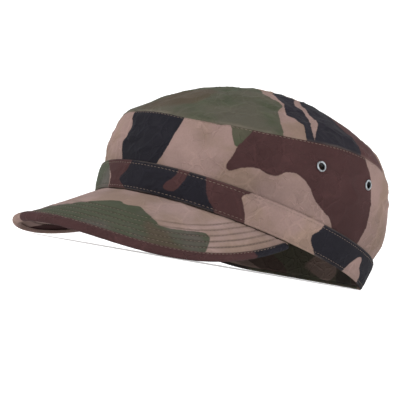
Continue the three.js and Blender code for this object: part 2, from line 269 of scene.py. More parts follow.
def depth_in_patch(spot, x, y):
    """How far inside the patch a place on the cut lies, in mm, negative outside it."""
    if not (spot["low"][0] - print_reach < x < spot["high"][0] + print_reach):
        return -print_reach
    if not (spot["low"][1] - print_reach < y < spot["high"][1] + print_reach):
        return -print_reach
    nearest, inside = print_reach * print_reach, False
    outline = spot["outline"]
    for (x0, y0), (x1, y1) in zip(outline, outline[1:] + outline[:1]):
        run_x, run_y = x1 - x0, y1 - y0
        length = run_x * run_x + run_y * run_y or 1e-9
        share = min(max(((x - x0) * run_x + (y - y0) * run_y) / length, 0.0), 1.0)
        away = (x - x0 - share * run_x) ** 2 + (y - y0 - share * run_y) ** 2
        nearest = min(nearest, away)
        if (y0 > y) != (y1 > y) and x < x0 + run_x * (y - y0) / run_y:
            inside = not inside
    return math.sqrt(nearest) * (1 if inside else -1)


def loose_print(point, seed):
    """The run of the same print over a stretch with no patches of its own, in the same mm."""
    spot = Vector((point.x / 58 + seed, point.y / 58, point.z / 34 + point.x / 120))
    swirl = noise.noise(spot * 2.1) * 0.25
    depths = {"wash": -print_reach}
    depths["green"] = 26 * (noise.noise(spot + Vector((7, 0, 0))) - 0.08 + swirl)
    depths["brown"] = 26 * (noise.noise(spot * 0.9 + Vector((0, 31, 0))) - 0.05 - swirl)
    depths["black"] = 24 * (noise.noise(spot * 1.15 + Vector((0, 0, 57))) - 0.24 + swirl)
    depths["tan"] = 20 * (noise.noise(spot * 1.5 + Vector((83, 0, 5))) - 0.42)
    return depths


def print_at(patches, x, y, point, seed, laid_out):
    """How deep a place lies in each ink: in the patches where laid_out is 1, and in the loose
    print where it is 0."""
    loose = loose_print(point, seed)
    depths = {}
    for ink in print_inks:
        own = [depth_in_patch(spot, x, y) for spot in patches if spot["ink"] == ink]
        beyond = min(max(loose[ink], -print_reach), print_reach)
        depths[ink] = blend(beyond, max(own, default=-print_reach), laid_out)
    return depths


def lay_sheet(name, columns, rows, place, paint, edge_distance):
    """Cloth cut as a flat grid, then bent to shape: place(u, v) gives the point for a place on
    the cut from 0 to 1 each way, and paint(u, v, point) the print there. Edges that meet are
    joined."""
    sheet = bmesh.new()
    bmesh.ops.create_grid(sheet, x_segments=columns, y_segments=rows, size=0.5)
    weave = sheet.loops.layers.uv.new("weave")
    layers = {ink: sheet.verts.layers.float.new(ink) for ink in print_inks}
    edge = sheet.verts.layers.float.new("edge")
    for face in sheet.faces:
        for loop in face.loops:
            loop[weave].uv = (loop.vert.co.x + 0.5, loop.vert.co.y + 0.5)
    for vert in sheet.verts:
        u, v = vert.co.x + 0.5, vert.co.y + 0.5
        point = place(u, v)
        for ink, depth in paint(u, v, point).items():
            vert[layers[ink]] = depth
        vert[edge] = edge_distance(u, v)
        vert.co = onto_table(point)
    bmesh.ops.remove_doubles(sheet, verts=sheet.verts, dist=1e-5)
    return sheet


def face_away(sheet, inner_point):
    """Turns all the faces of an open sheet to look away from a point."""
    bmesh.ops.recalc_face_normals(sheet, faces=sheet.faces)
    total = sum((face.calc_center_median() - inner_point).dot(face.normal) for face in sheet.faces)
    if total < 0:
        bmesh.ops.reverse_faces(sheet, faces=sheet.faces)


def make_object(name, sheet, materials, thickness=None):
    """A piece from a finished mesh. A thickness in mm makes cloth of it, inwards from its face."""
    mesh = bpy.data.meshes.new(name)
    sheet.to_mesh(mesh)
    sheet.free()
    for polygon in mesh.polygons:
        polygon.use_smooth = True
    for material in materials:
        mesh.materials.append(material)
    piece = bpy.data.objects.new(name, mesh)
    bpy.context.scene.collection.objects.link(piece)
    if thickness:
        solid = piece.modifiers.new("cloth", "SOLIDIFY")
        solid.thickness = thickness / 1000
        solid.offset = -1
        solid.use_even_offset = True
        solid.material_offset = 1 if len(materials) > 1 else 0
    return piece


class Number:
    """A value in a material, so that sums on it add the Math nodes they need."""

    def __init__(self, finish, socket):
        self.finish, self.socket = finish, socket

    def maths(self, operation, *others, swap=False):
        values = [self, *others]
        values = values[::-1] if swap else values
        return self.finish.node(
            "ShaderNodeMath", {"operation": operation}, {i: v for i, v in enumerate(values)}
        )

    def __add__(self, other):
        return self.maths("ADD", other)

    __radd__ = __add__

    def __mul__(self, other):
        return self.maths("MULTIPLY", other)

    __rmul__ = __mul__

    def __sub__(self, other):
        return self.maths("SUBTRACT", other)

    def __rsub__(self, other):
        return self.maths("SUBTRACT", other, swap=True)

    def step(self, start, end):
        """0 below start and 1 above end, smooth between them."""
        settings = {"interpolation_type": "SMOOTHSTEP", "clamp": True}
        return self.finish.node(
            "ShaderNodeMapRange", settings, {"Value": self, "From Min": start, "From Max": end}
        )


class Finish:
    """A material being made."""

    def __init__(self, name, roughness):
        self.material = bpy.data.materials.new(name)
        self.material.use_nodes = True
        self.tree = self.material.node_tree
        self.shader = self.tree.nodes["Principled BSDF"]
        self.shader.inputs["Roughness"].default_value = roughness

    def node(self, kind, settings=None, sockets=None, output=0):
        node = self.tree.nodes.new(kind)
        for key, value in (settings or {}).items():
            setattr(node, key, value)
        for key, value in (sockets or {}).items():
            if isinstance(value, Number):
                self.tree.links.new(value.socket, node.inputs[key])
            else:
                node.inputs[key].default_value = value
        return Number(self, node.outputs[output])

    def mix(self, share, first, second):
        """One colour turning to another as share goes from 0 to 1."""
        settings = {"data_type": "RGBA", "clamp_factor": True}
        return self.node("ShaderNodeMix", settings, {0: share, 6: first, 7: second}, output=2)

    def feed(self, name, value):
        self.tree.links.new(value.socket, self.shader.inputs[name])


def colour(red, green, blue):
    """A colour given as red, green and blue of 255, as the linear values of a material."""
    return tuple(((c / 255 + 0.055) / 1.055) ** 2.4 for c in (red, green, blue)) + (1.0,)


tan = colour(133, 111, 105)
brown = colour(62, 41, 41)
green = colour(70, 68, 56)
black = colour(26, 25, 31)
wash = colour(74, 62, 51)
stained_tan = colour(120, 101, 86)
fresh_green = colour(58, 66, 48)
# the cloth's reverse side, made darker as painted shade inside the cap
reverse_side_with_shade = colour(104, 97, 87)
# painted shade in the grooves between the twill's ribs
rib_groove_shade = colour(30, 26, 24)
cloth_roughness = 0.88
rib_pitch, pick_pitch = 0.9, 0.5  # of the twill, in mm
rubbed_pale = (colour(150, 134, 122), 0.16)  # a colour, and how much of it


def printed_cotton(
    name, run, rise, palette=None, reverse=False, creased=1.0, along_edge=rubbed_pale, painted_shade_from=None
):
    """Matt cotton twill with the camouflage print. run and rise are the size of the cut in mm.
    along_edge is the pale wear beside its edges, and on the peak the painted shade and dirt in its stitched
    grooves; the last argument is how far in from the edge the painted shade starts that darkens the wall
    under its belly."""
    inks = {"tan": tan, "brown": brown, "green": green, "black": black, "wash": wash}
    inks.update(palette or {})
    finish = Finish(name, cloth_roughness)
    place = finish.node("ShaderNodeTexCoord", output=3)
    drift = finish.node("ShaderNodeTexNoise", None, {"Vector": place, "Scale": 95.0, "Detail": 2.0})
    fuzz = finish.node("ShaderNodeTexNoise", None, {"Vector": place, "Scale": 900.0, "Detail": 2.0})
    mottle = finish.node("ShaderNodeTexNoise", None, {"Vector": place, "Scale": 38.0, "Detail": 4.0})

    def depth(layer):
        value = finish.node("ShaderNodeAttribute", {"attribute_name": layer}, output=2)
        return value + (drift - 0.5) * 2.6 + (fuzz - 0.5) * 0.9

    stain = finish.node("ShaderNodeTexNoise", None, {"Vector": place, "Scale": 30.0, "Detail": 5.0})
    shade = finish.mix(stain.step(0.45, 0.62) * 0.6, inks["tan"], stained_tan)
    leaf = depth("green").step(-0.3, 0.3)
    leaf_shade = finish.mix(stain.step(0.42, 0.6) * 0.7, inks["green"], fresh_green)
    shade = finish.mix(leaf, shade, leaf_shade)
    shade = finish.mix(leaf * depth("wash").step(-2.5, 2.5) * 0.7, shade, inks["wash"])
    shade = finish.mix(depth("brown").step(-0.3, 0.3), shade, inks["brown"])
    shade = finish.mix(depth("black").step(-0.3, 0.3), shade, inks["black"])
    shade = finish.mix(depth("tan").step(-0.3, 0.3), shade, inks["tan"])
    # wear beside the sewn edges and painted shade with dirt along the peak's rows, and painted highlights
    # on the crests and painted shade on the facets of the creased cloth
    edge = finish.node("ShaderNodeAttribute", {"attribute_name": "edge"}, output=2)
    # the mask beside edges and rows: pale wear, and on the peak painted shade and dirt
    wear_and_groove_shade = (1 - edge.step(0.1, 1.3)) * mottle.step(0.3, 0.6)
    crease_light_and_bump = 0
    for size in (62.0, 130.0):
        bent = {"Vector": place, "Scale": size, "Detail": 2.0}
        sway = finish.node("ShaderNodeTexNoise", None, bent, output=1)
        swayed = {0: 0.006, 4: place, 5: sway}
        spot = finish.node("ShaderNodeMix", {"data_type": "VECTOR"}, swayed, output=1)
        cells = {"Vector": spot, "Scale": size}
        edge_away = finish.node("ShaderNodeTexVoronoi", {"feature": "DISTANCE_TO_EDGE"}, cells)
        facet = finish.node("ShaderNodeTexVoronoi", None, cells, output=1)
        facet_shading = finish.node("ShaderNodeSeparateXYZ", None, {0: facet}) - 0.5
        come = finish.node("ShaderNodeTexNoise", None, {"Vector": place, "Scale": size / 2.5})
        come = come.step(0.44, 0.6)
        # painted highlight along each crest, and painted shade and light on each facet as its tilt would
        # give
        crest_highlight = (1 - edge_away.step(0.0, 0.08)) * come
        crease_light_and_bump = crease_light_and_bump + crest_highlight * (0.17 * creased) + facet_shading * come * (0.1 * creased)
    # the print's own mottled tone, with the painted light and shade of the creases
    dye_and_painted_light = 0.66 + mottle * 0.5 + fuzz * 0.22 + crease_light_and_bump
    # painted shade: the wall darkens towards the band, where it lies under its own belly
    if painted_shade_from:
        dye_and_painted_light = dye_and_painted_light - edge.step(painted_shade_from, painted_shade_from + 22) * 0.2
    shade = finish.node("ShaderNodeHueSaturation", None, {"Value": dye_and_painted_light, "Color": shade})
    shade = finish.mix(wear_and_groove_shade * along_edge[1], shade, along_edge[0])
    # the reverse side's own colour, darkened as painted shade for the inside of the cap
    if reverse:
        shade = finish.mix(0.4, shade, reverse_side_with_shade)
    # the diagonal ribs of the twill, with painted shade in the grooves between them
    cut = finish.node("ShaderNodeUVMap", {"uv_map": "weave"})
    parts = [finish.node("ShaderNodeSeparateXYZ", None, {0: cut}, output=i) for i in (0, 1)]
    across, up = parts[0] * run, parts[1] * rise
    rib = ((across + up) * (2 * math.pi / rib_pitch)).maths("SINE")
    pick = ((across - up * 0.35) * (2 * math.pi / pick_pitch)).maths("SINE")
    weave = rib * 0.5 + pick * 0.3
    shade = finish.mix((weave * 0.5 + 0.5).step(0.1, 0.9) * 0.07, shade, rib_groove_shade)
    finish.feed("Base Color", shade)
    slubs = finish.node("ShaderNodeTexNoise", None, {"Vector": place, "Scale": 420.0, "Detail": 3.0})
    height = weave * 0.035 + slubs * 0.2 + mottle * 0.8 + crease_light_and_bump * 2.2
    bump = finish.node("ShaderNodeBump", None, {"Strength": 0.9, "Distance": 0.001, "Height": height})
    finish.feed("Normal", bump)
    finish.feed("Roughness", 0.84 + fuzz * 0.12)
    finish.shader.inputs["Specular IOR Level"].default_value = 0.12
    return finish.material


wall_patches = [
    patch(
        "green", (34, 60), (38, 52), (40, 46), (42.5, 40), (45, 45), (46.5, 51), (48, 60),
        scale=degree_run,
    ),
    patch(
        "brown", (46.5, 62), (46.3, 53), (44.5, 46), (42.6, 42), (42.2, 36), (40.5, 28), (43, 25.5),
        (47, 31), (52, 33.5), (57, 31), (60, 33), (62, 38), (67, 39), (71, 36), (75, 30), (79, 26.5),
        (84, 24), (89, 19), (88, 10), (104, 10), (105, 22), (103.4, 32), (102, 42), (100, 52),
        (97, 60), (92, 67), (90, 80), (60, 80), scale=degree_run,
    ),
    patch(
        "black", (-10, 64), (-17, 51), (-12.5, 43), (-13.5, 36), (-14.5, 29), (-10, 19), (-10, 10),
        (10, 10), (12.5, 20), (15.8, 31), (16.6, 40), (17.5, 50), (18.5, 64), scale=degree_run,
    ),
]
wall_base = 2  # the wall starts this far above the rim, inside the band
crown_girth = 565
wall_rise = 70


def wall_spot(u, v):
    around = 360 * u - 180
    return around, blend(wall_base, wall_top(around) - gap / 2, v)


def wall_place(u, v):
    return wall_face(*wall_spot(u, v))


def wall_paint(u, v, point):
    around, height = wall_spot(u, v)
    laid_out = ease(around, -58, -44) * ease(around, 138, 118)
    return print_at(wall_patches, around * degree_run, height, point, 1.3, laid_out)


def wall_edge(u, v):
    around, height = wall_spot(u, v)
    return wall_top(around) - height


crown_middle = onto_table(Vector((0, 5, 40)))
wall = lay_sheet("crown_wall_cloth", 440, 56, wall_place, wall_paint, wall_edge)
face_away(wall, crown_middle)

# Holes for the vent eyelets, two on each side. climb: 0 at the rim, 1 at the top seam.
hole_cut, hole_rim = 0.0026, 0.0029  # metres
eyelets = [
    {"name": "left_front", "around": 73.2, "climb": 0.757},
    {"name": "left_rear", "around": 97, "climb": 0.77},
    {"name": "right_front", "around": -73.2, "climb": 0.757},
    {"name": "right_rear", "around": -97, "climb": 0.77},
]


def eyelet_seat(around, climb):
    """The middle of an eyelet on the wall's outer face, and the way out of the cloth there."""
    height = climb * wall_top(around)
    centre = onto_table(wall_face(around, height))
    across = onto_table(wall_face(around + 3, height)) - onto_table(wall_face(around - 3, height))
    up = onto_table(wall_face(around, height + 4)) - onto_table(wall_face(around, height - 4))
    return centre, across.cross(up).normalized()


for eyelet in eyelets:
    centre, out = eyelet_seat(eyelet["around"], eyelet["climb"])
    hole = [f for f in wall.faces if (f.calc_center_median() - centre).length < hole_cut]
    rim = {vert for face in hole for vert in face.verts}
    bmesh.ops.delete(wall, geom=hole, context="FACES")
    for vert in rim:
        if vert.is_valid:
            arm = vert.co - centre
            level = arm.dot(out)
            vert.co = centre + (arm - out * level).normalized() * hole_rim + out * level

wall_print = printed_cotton("wall_print", crown_girth, wall_rise, painted_shade_from=18)
wall_reverse = printed_cotton("wall_reverse", crown_girth, wall_rise, reverse=True)
wall_piece = make_object("crown_wall_cloth", wall, [wall_print, wall_reverse], cloth)
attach(wall_piece, "root")
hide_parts("crown_wall")


# ---- Top panel ----
# An oval of the same print, domed over the wall and sewn to its top edge. Soft folds run in
# from the seam where the longer wall is eased onto it.

dome_height = 101.8  # over the rim
dome_centre = 10  # how far behind the middle the dome is highest
dome_fullness = 2.12
dome_run = 85  # from its middle to the seam
top_edge_run = 88  # the same along the flat cut
top_folds = [
    {"around": -14, "at": 0.86, "wide": 7, "long": 0.14, "out": -2.4},
    {"around": 0, "at": 0.84, "wide": 7, "long": 0.14, "out": 1.2},
    {"around": 34, "at": 0.92, "wide": 5, "long": 0.12, "out": -1.2},
    {"around": 84, "at": 0.72, "wide": 7, "long": 0.2, "out": -1.6},
    {"around": 112, "at": 0.86, "wide": 22, "long": 0.07, "out": 1.4},
    {"around": 122, "at": 0.8, "wide": 20, "long": 0.16, "out": 1.8},
    {"around": 152, "at": 0.74, "wide": 20, "long": 0.2, "out": 2.4},
    {"around": -120, "at": 0.8, "wide": 18, "long": 0.1, "out": 1.6},
    {"around": 170, "at": 0.7, "wide": 16, "long": 0.16, "out": -1.8},
]
top_patches = [
    patch("green", (-110, -110), (110, -110), (84, -56), (69, -54), (58, -50), (50, -45), (48, -41),
          (44, -37), (34, -41), (26, -39), (19, -34), (8, -30), (-10, -16), (-40, -10), (-80, 0)),
    patch("wash", (-22, -92), (4, -92), (18, -78), (12, -62), (-2, -56), (-20, -60), (-28, -76)),
    patch("black", (10, -12), (16, -19), (19, -24), (25, -30), (32, -34), (40, -35), (46, -37),
          (52, -41), (57, -42), (62, -38.5), (70, -38.5), (78, -42), (92, -40), (94, -8), (82, 3),
          (66, 0), (52, 2), (40, 3), (28, 2)),
    patch("brown", (28, -4), (40, -5), (52, -7), (66, -9), (80, -8), (96, -20), (96, 30), (80, 34),
          (62, 24), (44, 18), (28, 16)),
    patch("tan", (24, -6), (30, -11), (36, -16), (44, -21), (54, -23), (62, -24), (70, -29),
          (80, -36), (78, -37), (66, -31), (56, -27), (45, -26), (37, -22), (30, -16), (24, -11)),
]
top_across = 178
top_along = 196


def dome_face(around, at):
    """The top's outer face. at is 0 in the middle of the dome and 1 at the seam."""
    seam = crown_outline(around, wall_top(around))
    rise = 1 - at**dome_fullness
    x, y = seam.x * at, blend(dome_centre, seam.y, at)
    z = blend(seam.z, dome_height, rise) + fold_out(top_folds, around, at) * (1 - ease(at, 0.96, 1))
    inside = (1 - at) * dome_run
    spot = Vector((x, y, z))
    z += ease(inside, 0, 10) * (0.9 * noise.noise(spot / 30) + 0.3 * noise.noise(spot / 11))
    z += ease(inside, 0, 8) * (1.4 * crumple(spot, 46) + 0.8 * crumple(spot, 22) - 1.0 * crumple(-spot, 31))
    z += ease(inside, 0, 5) * 0.4 * crumple(spot + Vector((50, 0, 0)), 14)
    z += pucker(around, 5, inside, 0.8) * ease(inside, 0, 1.5)
    z -= 1.2 * ease(inside, 2.2, 0) ** 1.5
    return Vector((x, y, z))


def round_spot(u, v):
    """A place on the square cut moved onto a disc: the angle round it, and how far out it is."""
    x, y = 2 * u - 1, 2 * v - 1
    if abs(x) < 1e-9 and abs(y) < 1e-9:
        return 0.0, 0.0
    if abs(x) > abs(y):
        at, turn = abs(x), (0 if x > 0 else 180) + 45 * y / x
    else:
        at, turn = abs(y), (90 if y > 0 else 270) - 45 * x / y
    return turn + 90, at


def top_place(u, v):
    return dome_face(*round_spot(u, v))


def top_paint(u, v, point):
    laid_out = ease(point.x * 0.8 - point.y * 0.6, -34, -10)
    return print_at(top_patches, point.x, point.y, point, 4.1, laid_out)


def top_edge(u, v):
    return (1 - round_spot(u, v)[1]) * top_edge_run


top = lay_sheet("crown_top_cloth", 164, 164, top_place, top_paint, top_edge)
face_away(top, crown_middle)
# lighter copies of the green, black and brown for the top: painted light and sheen from above
top_lit_inks = {"green": colour(77, 74, 64), "black": colour(32, 30, 37), "brown": colour(72, 48, 48)}
top_print = printed_cotton("top_print", top_across, top_along, top_lit_inks)
top_reverse = printed_cotton("top_reverse", top_across, top_along, reverse=True)
top_piece = make_object("crown_top_cloth", top, [top_print, top_reverse], cloth)
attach(top_piece, "root")
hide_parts("crown_top")


# ---- Band ----
# A strip folded over at both edges and stitched round the head opening over the bottom of the
# wall. It is flattened at the back, where the cap rests.

band_patches = [
    patch("green", (-70, -6), (-70, 26), (-26, 26), (-18, 16), (-13, 9.5), (-11, 4), (-14, -6),
          scale=degree_run),
    patch("brown", (-28, 26), (-17.5, 15), (-12.5, 9), (-10.5, 4), (-13, -6), (56, -6), (53.5, 6),
          (51, 11), (49.5, 15), (54, 19), (54, 26), scale=degree_run),
    patch("black", (-2, 26), (-0.5, 15), (-2, 10), (-5, 6), (0, 2), (4, -6), (43, -6), (42, 3),
          (38, 7), (36.5, 12), (35, 19), (35, 26), (29, 26), (28.5, 17), (27, 11), (25.5, 5),
          (23, 3.5), (20, 5), (20, 8), (22.5, 12), (24, 16), (24, 26), scale=degree_run),
    patch("black", (84.5, 26), (83, 16), (80, 10), (81.5, 5), (84, 2), (89, -6), (148, -6), (148, 26),
          scale=degree_run),
    patch("tan", (109, 14), (112, 12.5), (113, 8), (117, 4), (121, -6), (102, -6), (104, 4), (106, 9),
          scale=degree_run),
]
band_creases = [
    {"around": 46, "at": 0.78, "wide": 7, "long": 0.07, "out": -0.45},
    {"around": 40, "at": 0.6, "wide": 4, "long": 0.08, "out": -0.3},
    {"around": 12, "at": 0.5, "wide": 9, "long": 0.1, "out": -0.25},
    {"around": -60, "at": 0.55, "wide": 9, "long": 0.1, "out": -0.3},
]
band_stitch_lines = (1.9, band_height - 2.1)


def band_face(around, height):
    """The band's outer face, rolled in at both folded edges and dented by its stitches."""
    out = -0.75 * (ease(height, 1.4, 0) ** 2 + ease(band_height - height, 1.4, 0) ** 2)
    for line in band_stitch_lines:
        out -= 0.32 * math.exp(-((height - line) / 0.55) ** 2)
    middle = ease(height, 1, 5) * ease(band_height - height, 1, 5)
    creased = fold_out(band_creases, around, height / band_height)
    out += middle * (0.3 * ripple(around, height, 16) + 0.2 + creased)
    out += middle * 0.45 * crumple(crease_spot(around, height), 13)
    out += pucker(around * 1.7, height, 2, 0.22) * ease(height, 0, 2)
    point = crown_outline(around, height) + outwards(around) * out
    if height < 0.01:
        point.z = table_lift(crown_outline(around, 0).y)
    return point


def band_spot(u, v):
    return 360 * u - 180, band_height * v


def band_place(u, v):
    return band_face(*band_spot(u, v))


def band_paint(u, v, point):
    around, height = band_spot(u, v)
    laid_out = ease(around, -62, -48) * ease(around, 150, 136)
    return print_at(band_patches, around * degree_run, height, point, 9.7, laid_out)


def band_edge(u, v):
    return band_height * min(v, 1 - v)


band = lay_sheet("band_cloth", 440, 32, band_place, band_paint, band_edge)
face_away(band, crown_middle)
band_greens = {"green": colour(78, 75, 70)}
band_print = printed_cotton("band_print", crown_girth, band_height, band_greens)
band_reverse = printed_cotton("band_reverse", crown_girth, band_height, reverse=True)
band_piece = make_object("band_cloth", band, [band_print, band_reverse], cloth)
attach(band_piece, "root")
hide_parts("band")


# ---- Peak ----
# Two layers of the print over a stiffener, sewn together with rows of stitching that follow
# the outer edge. The peak is arched across and its sides droop to the table.

peak_half_angle = 76  # of the rim that the peak is sewn to, each side of the front
peak_length = 63.7
peak_squareness = 4
peak_fan = 0.245  # how much the lines straight out from the rim spread
peak_droop = 35.6  # degrees, in the middle
peak_side_droop = 14.8  # more at the ends
peak_cloth = 1.2
peak_run = math.radians(peak_half_angle) * (rim_half_width + rim_half_length) / 2
peak_rows = (11.2, 16.9, 22.6, 28.3, 34.0)  # of stitching, mm inside the outer edge


def peak_point(side, reach):
    """The peak's upper face. side runs from -1 to 1 along the rim, reach is mm out from it."""
    around = side * peak_half_angle
    fan = math.radians(peak_fan * around)
    droop = math.radians(peak_droop + peak_side_droop * side * side)
    level = math.cos(droop)
    along = Vector((math.sin(fan) * level, -math.cos(fan) * level, -math.sin(droop)))
    return rim_point(around) - outwards(around) - Vector((0, 0, gap)) + along * reach


def peak_normal(side, reach):
    across = peak_point(side + 0.002, reach) - peak_point(side - 0.002, reach)
    normal = (peak_point(side, reach + 1) - peak_point(side, reach)).cross(across).normalized()
    return -normal if normal.z < 0 else normal


def peak_reach(side):
    """How far the outer edge is from the rim."""
    return peak_length * (1 - abs(side) ** peak_squareness)


def outline_slope(side):
    steepness = peak_squareness * abs(side) ** (peak_squareness - 1)
    return -peak_length * steepness * math.copysign(1, side) / peak_run


outline_points = kdtree.KDTree(601)
for step in range(601):
    side = step / 300 - 1
    outline_points.insert(Vector((side * peak_run, peak_reach(side), 0)), step)
outline_points.balance()


def edge_inset(side, reach):
    """How far a place on the flat peak lies inside its outer edge."""
    return outline_points.find(Vector((side * peak_run, reach, 0)))[2]


peak_end = 0.965  # where the cloth ends along the rim
peak_margin = 1.3  # the cloth stops this far inside the binding's fold


def peak_spot(u, v):
    side = blend(-peak_end, peak_end, u)
    return side, v * (peak_reach(side) - peak_margin * math.hypot(1, outline_slope(side)))


def quilting(side, reach):
    """The padding swells a little between the rows of stitching."""
    inset = edge_inset(side, reach)
    dent = sum(math.exp(-((inset - row) / 0.75) ** 2) for row in peak_rows)
    swell = 0.12 * noise.noise(Vector((side * 30, reach / 5, 2)))
    spot = Vector((side * peak_run, reach, 6))
    return -0.5 * dent + swell + 0.3 * noise.noise(spot / 14) + 0.25 * crumple(spot, 22)


def peak_top_place(u, v):
    side, reach = peak_spot(u, v)
    return peak_point(side, reach) + peak_normal(side, reach) * quilting(side, reach)


def peak_under_place(u, v):
    side, reach = peak_spot(u, v)
    depth = 2 * peak_cloth + gap + quilting(side, reach)
    return peak_point(side, reach) - peak_normal(side, reach) * depth


peak_top_patches = [
    patch("green", (-44, 80), (-30, 52), (-20, 42), (-8, 36), (-2, 31), (5, 26), (12, 20), (18, 18.5),
          (24, 22), (29, 20.5), (33, 18.5), (41, 24), (50, 29), (55, 32), (61, 31.5), (67, 28),
          (71, 24), (75, 21.5), (80, 24), (83, 32), (85.5, 39), (85, 46), (93, 54), (80, 80)),
    patch("wash", (46, 30), (54, 35), (62, 34), (70, 44), (84, 44), (90, 54), (70, 64), (58, 52),
          (57, 44), (51, 40)),
    patch("brown", (-100, -5), (-78, -5), (-66, 8), (-62, 22), (-70, 36), (-86, 40), (-112, 20)),
]
peak_under_patches = [
    patch("brown", (-70, 70), (-68, 52), (-72, 44), (-80, 36), (-91, 28), (-97, 36), (-92, 46),
          (-84, 60)),
    patch("green", (-40, -5), (-18, 12), (2, 30), (22, 26), (34, 40), (56, 44), (60, 20), (40, -5)),
    patch("black", (84, -5), (72, 12), (80, 26), (96, 24), (112, 2), (110, -5)),
    patch("brown", (-34, 52), (-12, 44), (10, 50), (20, 62), (-10, 74), (-36, 70)),
]


def peak_paint(patches):
    def paint(u, v, point):
        side, reach = peak_spot(u, v)
        return print_at(patches, side * peak_run, reach, point, 6.3, 1.0)

    return paint


def peak_edge(u, v):
    """The painted shade and dirt on the peak lie along its rows of stitching."""
    inset = edge_inset(*peak_spot(u, v))
    return min(abs(inset - row) for row in peak_rows)


peak_top_paint = peak_paint(peak_top_patches)
peak_top = lay_sheet("peak_top_cloth", 200, 84, peak_top_place, peak_top_paint, peak_edge)
face_away(peak_top, onto_table(Vector((0, -60, -200))))
# painted shade and dirt in the stitched grooves of the peak
groove_shade_and_dirt = (colour(50, 40, 36), 0.6)  # dark, where other edges are rubbed pale
# lighter copies of the tan and green for the peak: painted light
peak_lit_inks = {"tan": colour(139, 118, 113), "green": colour(76, 72, 66)}
peak_print = printed_cotton(
    "peak_print", 2 * peak_run, peak_length, peak_lit_inks, creased=0.5, along_edge=groove_shade_and_dirt
)
peak_top_piece = make_object("peak_top_cloth", peak_top, [peak_print], peak_cloth)
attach(peak_top_piece, "root")
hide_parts("peak_top")

peak_under_paint = peak_paint(peak_under_patches)
peak_under = lay_sheet("peak_under_cloth", 200, 84, peak_under_place, peak_under_paint, peak_edge)
face_away(peak_under, onto_table(Vector((0, -60, 200))))
peak_under_piece = make_object("peak_under_cloth", peak_under, [peak_print], peak_cloth)
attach(peak_under_piece, "root")
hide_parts("peak_under")


# ---- Peak binding ----
# A bias strip folded round the outer edge of the peak and stitched through near its inner
# edges. It is brown, with a black run at the wearer's left end and a tan one at the right.

binding_width = 5.6
binding_cloth = 1.0
binding_end = 0.985
binding_stitch_inset = 1.3  # from the strip's inner edges
binding_run, binding_strip = 265, 16
peak_bottom = -(2 * peak_cloth + gap)
binding_over = gap + binding_cloth  # how far the strip stands over the peak's cloth


def binding_spot(side, inset):
    """The place on the peak that lies square in from its outer edge at side."""
    slope = outline_slope(side)
    length = math.hypot(1, slope)
    reach = max(peak_reach(side) - inset / length, 1.4)
    return side + inset * slope / length / peak_run, reach


def binding_point(side, inset, raised):
    flat_side, reach = binding_spot(side, inset)
    return peak_point(flat_side, reach) + peak_normal(flat_side, reach) * raised


def binding_section(v):
    """The folded strip's outer face from its upper inner edge round the fold to its lower one,
    as an inset from the outer edge, a height over the peak and a distance from the inner edge."""
    half = (2 * binding_over - peak_bottom) / 2
    middle = peak_bottom / 2
    flat = binding_width - half
    run = flat + math.pi * half / 2
    along = abs(2 * v - 1) * run  # from the fold
    if along > math.pi * half / 2:
        inset, raised = half + along - math.pi * half / 2, half
    else:
        angle = along / half
        inset, raised = half * (1 - math.cos(angle)), half * math.sin(angle)
    return inset, middle + (raised if v < 0.5 else -raised), binding_width - inset


def binding_place(u, v):
    side = blend(-binding_end, binding_end, u)
    inset, raised, from_edge = binding_section(v)
    lower = v > 0.5
    groove = math.exp(-((from_edge - binding_stitch_inset) / 0.5) ** 2)
    sink = 0.28 * groove + 0.5 * ease(from_edge, 0.7, 0) ** 2
    waves = 0.22 * noise.noise(Vector((side * 34, 2.0 if lower else 5.0, inset / 6)))
    sink += waves * ease(inset, 0, 2)
    return binding_point(side, inset, raised + (sink if lower else -sink))


brown_from, black_from = -24, 107  # mm along the strip from the front


def binding_paint(u, v, point):
    x = blend(-binding_end, binding_end, u) * peak_run
    depths = {"green": -print_reach, "wash": -print_reach, "tan": -print_reach}
    depths["brown"] = min(max(x - brown_from, -print_reach), print_reach)
    depths["black"] = min(max(x - black_from, -print_reach), print_reach)
    return depths


def binding_edge(u, v):
    return binding_section(v)[2]


binding = lay_sheet("peak_binding_cloth", 260, 22, binding_place, binding_paint, binding_edge)
bmesh.ops.recalc_face_normals(binding, faces=binding.faces)
front = min(binding.faces, key=lambda f: f.calc_center_median().y)
if front.normal.y > 0:
    bmesh.ops.reverse_faces(binding, faces=binding.faces)
binding_print = printed_cotton("binding_print", binding_run, binding_strip)
binding_piece = make_object("peak_binding_cloth", binding, [binding_print], binding_cloth)
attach(binding_piece, "root")
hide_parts("peak_binding")


# ---- Stitching ----
# Twisted cotton thread, lying in short stitches in the groove that each row pulls into the
# cloth: along both edges of the band, under the top seam, round the binding and over the peak.

thread_finish = Finish("thread", 0.8)
thread_place = thread_finish.node("ShaderNodeTexCoord", output=3)
thread_shade = thread_finish.node("ShaderNodeTexNoise", None, {"Vector": thread_place, "Scale": 260.0})
thread_mix = thread_finish.mix(thread_shade, colour(84, 68, 60), colour(130, 112, 98))
thread_finish.feed("Base Color", thread_mix)
thread_twist = thread_finish.node(
    "ShaderNodeTexWave", {"bands_direction": "DIAGONAL"}, {"Vector": thread_place, "Scale": 900.0}
)
thread_relief = {"Strength": 0.4, "Distance": 0.0002, "Height": thread_twist}
thread_finish.feed("Normal", thread_finish.node("ShaderNodeBump", None, thread_relief))

stitch_pitch = 2.6
stitch_length = 1.75
thread_radius = 0.18
thread_lift = 0.06  # of the middle of the thread over the cloth
hand = random.Random(7)


